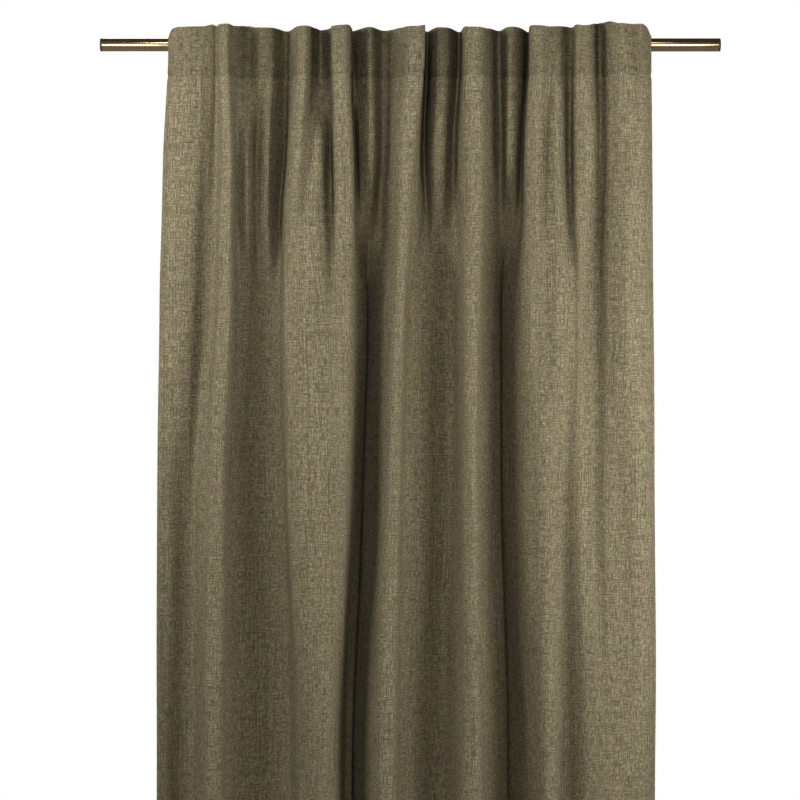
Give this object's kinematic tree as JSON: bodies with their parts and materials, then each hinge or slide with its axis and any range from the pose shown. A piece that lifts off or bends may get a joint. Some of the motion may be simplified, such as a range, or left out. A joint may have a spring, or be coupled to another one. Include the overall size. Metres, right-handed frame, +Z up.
{
  "type": "fabric room curtain panel",
  "caption": "Linen-look curtain panel with a pleated multi-way heading, hanging by hidden loops on a plain bronze-coloured metal rod that it slides along.",
  "frame": {"origin": "on the rod's axis at the middle of its length", "axes": "+X along the rod to the curtain's right as seen from the front, +Z up, front of the curtain towards -Y"},
  "size_m": [0.96, 0.1043, 2.4],
  "materials": {
    "rod_metal": "glossy bronze-brown lacquered steel",
    "end_plug": "satin dark brown moulded plastic",
    "loop_webbing": "close woven polyester webbing",
    "face_cloth": "olive-taupe slub linen-look plain weave, slightly sheer",
    "heading_tape": "ribbed woven heading tape",
    "hem_cloth": "the face cloth turned under twice",
    "thread": "olive polyester sewing thread",
    "label_cloth": "blank off-white satin ribbon"
  },
  "bodies": {
    "rod": {"rod_tube": "rod_metal", "end_plug_left": "end_plug", "end_plug_right": "end_plug"},
    "loop_01": {"loop_01": "loop_webbing", "face_cloth_01": "face_cloth", "heading_tape": "heading_tape", "bottom_hem": "hem_cloth", "top_stitching": "thread", "tape_stitching": "thread", "bottom_stitching": "thread", "side_hem_left": "hem_cloth", "side_stitching_left": "thread", "care_label": "label_cloth"},
    "loop_02": {"loop_02": "loop_webbing", "face_cloth_02": "face_cloth"},
    "loop_03": {"loop_03": "loop_webbing", "face_cloth_03": "face_cloth"},
    "loop_04": {"loop_04": "loop_webbing", "face_cloth_04": "face_cloth"},
    "loop_05": {"loop_05": "loop_webbing", "face_cloth_05": "face_cloth"},
    "loop_06": {"loop_06": "loop_webbing", "face_cloth_06": "face_cloth"},
    "loop_07": {"loop_07": "loop_webbing", "face_cloth_07": "face_cloth", "side_hem_right": "hem_cloth", "side_stitching_right": "thread"}
  },
  "joints": [
    {"name": "curtain_shift", "type": "slide", "parent": "rod", "child": "loop_01", "axis": [1, 0, 0], "range_m": [-0.09, 0.09]},
    {"name": "draw", "type": "slide", "parent": "loop_01", "child": "loop_07", "axis": [-1, 0, 0], "range_m": [0, 0.419], "deforming": ["face_cloth_01", "face_cloth_07", "heading_tape", "bottom_hem", "top_stitching", "tape_stitching", "bottom_stitching", "side_hem_left", "side_hem_right", "side_stitching_left", "side_stitching_right", "care_label"]},
    {"name": "glide_02", "type": "slide", "parent": "loop_01", "child": "loop_02", "axis": [-1, 0, 0], "range_m": [0, 0.0586], "deforming": ["face_cloth_02"]},
    {"name": "glide_03", "type": "slide", "parent": "loop_01", "child": "loop_03", "axis": [-1, 0, 0], "range_m": [0, 0.118], "deforming": ["face_cloth_03"]},
    {"name": "glide_04", "type": "slide", "parent": "loop_01", "child": "loop_04", "axis": [-1, 0, 0], "range_m": [0, 0.1726], "deforming": ["face_cloth_04"]},
    {"name": "glide_05", "type": "slide", "parent": "loop_01", "child": "loop_05", "axis": [-1, 0, 0], "range_m": [0, 0.2502], "deforming": ["face_cloth_05"]},
    {"name": "glide_06", "type": "slide", "parent": "loop_01", "child": "loop_06", "axis": [-1, 0, 0], "range_m": [0, 0.3258], "deforming": ["face_cloth_06"]}
  ],
  "couplings": [
    {"joint": "glide_02", "follows": "draw", "ratio": 0.1386},
    {"joint": "glide_03", "follows": "draw", "ratio": 0.2805},
    {"joint": "glide_04", "follows": "draw", "ratio": 0.4107},
    {"joint": "glide_05", "follows": "draw", "ratio": 0.596},
    {"joint": "glide_06", "follows": "draw", "ratio": 0.7763}
  ]
}
